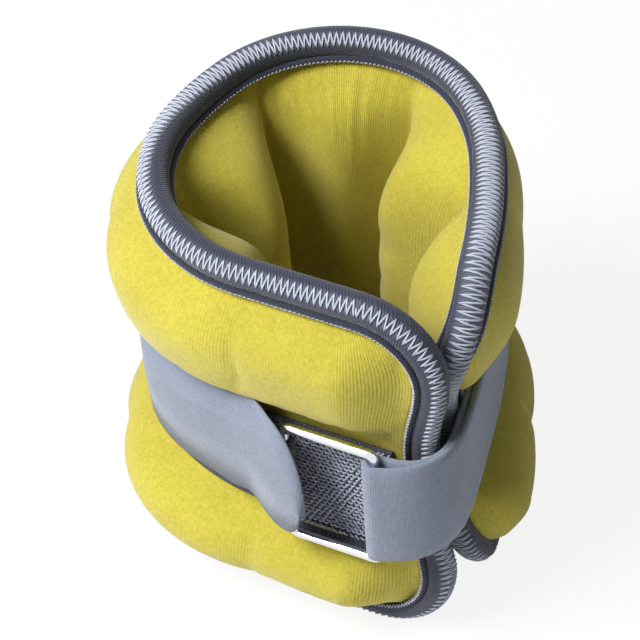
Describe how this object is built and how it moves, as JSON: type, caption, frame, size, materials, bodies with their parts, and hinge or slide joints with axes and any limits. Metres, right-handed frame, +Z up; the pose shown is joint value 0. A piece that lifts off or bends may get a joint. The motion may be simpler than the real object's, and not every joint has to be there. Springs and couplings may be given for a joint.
{
  "type": "ankle cuff weight",
  "caption": "Padded cylindrical cuff of sand-filled pockets, closed round a limb by a strap through a metal ring.",
  "frame": {"origin": "centre of the base, under the middle of the overall box", "axes": "+Z up along the cuff; the front flap and the ring face -Y; the strap runs along the front in +X"},
  "size_m": [0.1287, 0.1337, 0.1273],
  "materials": {
    "yellow_fabric": "fine brushed knit",
    "binding_knit": "knitted edge binding",
    "loop_tape": "coarse woven loop tape",
    "strap_webbing": "brushed loop webbing",
    "hook_tape": "hook tape",
    "bag_cloth": "plain tight-woven cloth",
    "iron_sand": "loose grain",
    "ring_metal": "polished"
  },
  "bodies": {
    "half_a": {"outer_cover_a": "yellow_fabric", "inner_lining_a": "yellow_fabric", "edge_binding_a": "binding_knit", "base_tape_a": "loop_tape", "strap_run_a": "strap_webbing", "strap_bridge": "strap_webbing", "keeper_loop": "loop_tape", "weight_bag_1": "bag_cloth", "weight_bag_2": "bag_cloth", "weight_bag_3": "bag_cloth", "iron_fill_1": "iron_sand", "iron_fill_2": "iron_sand", "iron_fill_3": "iron_sand"},
    "half_b": {"outer_cover_b": "yellow_fabric", "inner_lining_b": "yellow_fabric", "edge_binding_b": "binding_knit", "base_tape_b": "loop_tape", "strap_root": "strap_webbing", "strap_run_b": "strap_webbing", "weight_bag_4": "bag_cloth", "weight_bag_5": "bag_cloth", "weight_bag_6": "bag_cloth", "iron_fill_4": "iron_sand", "iron_fill_5": "iron_sand", "iron_fill_6": "iron_sand"},
    "buckle": {"buckle_ring": "ring_metal"},
    "tab": {"strap_tab": "strap_webbing", "hook_patch": "hook_tape"}
  },
  "joints": [
    {"name": "cuff_spread", "type": "hinge", "parent": "half_a", "child": "half_b", "pos_m": [-0.054, 0.0394, 0.0635], "axis": [0, 0, 1], "range_deg": [0, 45], "deforming": ["strap_bridge"]},
    {"name": "buckle_swing", "type": "hinge", "parent": "half_a", "child": "buckle", "pos_m": [0.0141, -0.0591, 0.0635], "axis": [0, 0, -1], "range_deg": [0, 35], "deforming": ["strap_bridge"]},
    {"name": "tab_peel", "type": "hinge", "parent": "half_a", "child": "tab", "pos_m": [-0.0475, -0.0307, 0.0635], "axis": [0, 0, -1], "range_deg": [0, 110]}
  ]
}
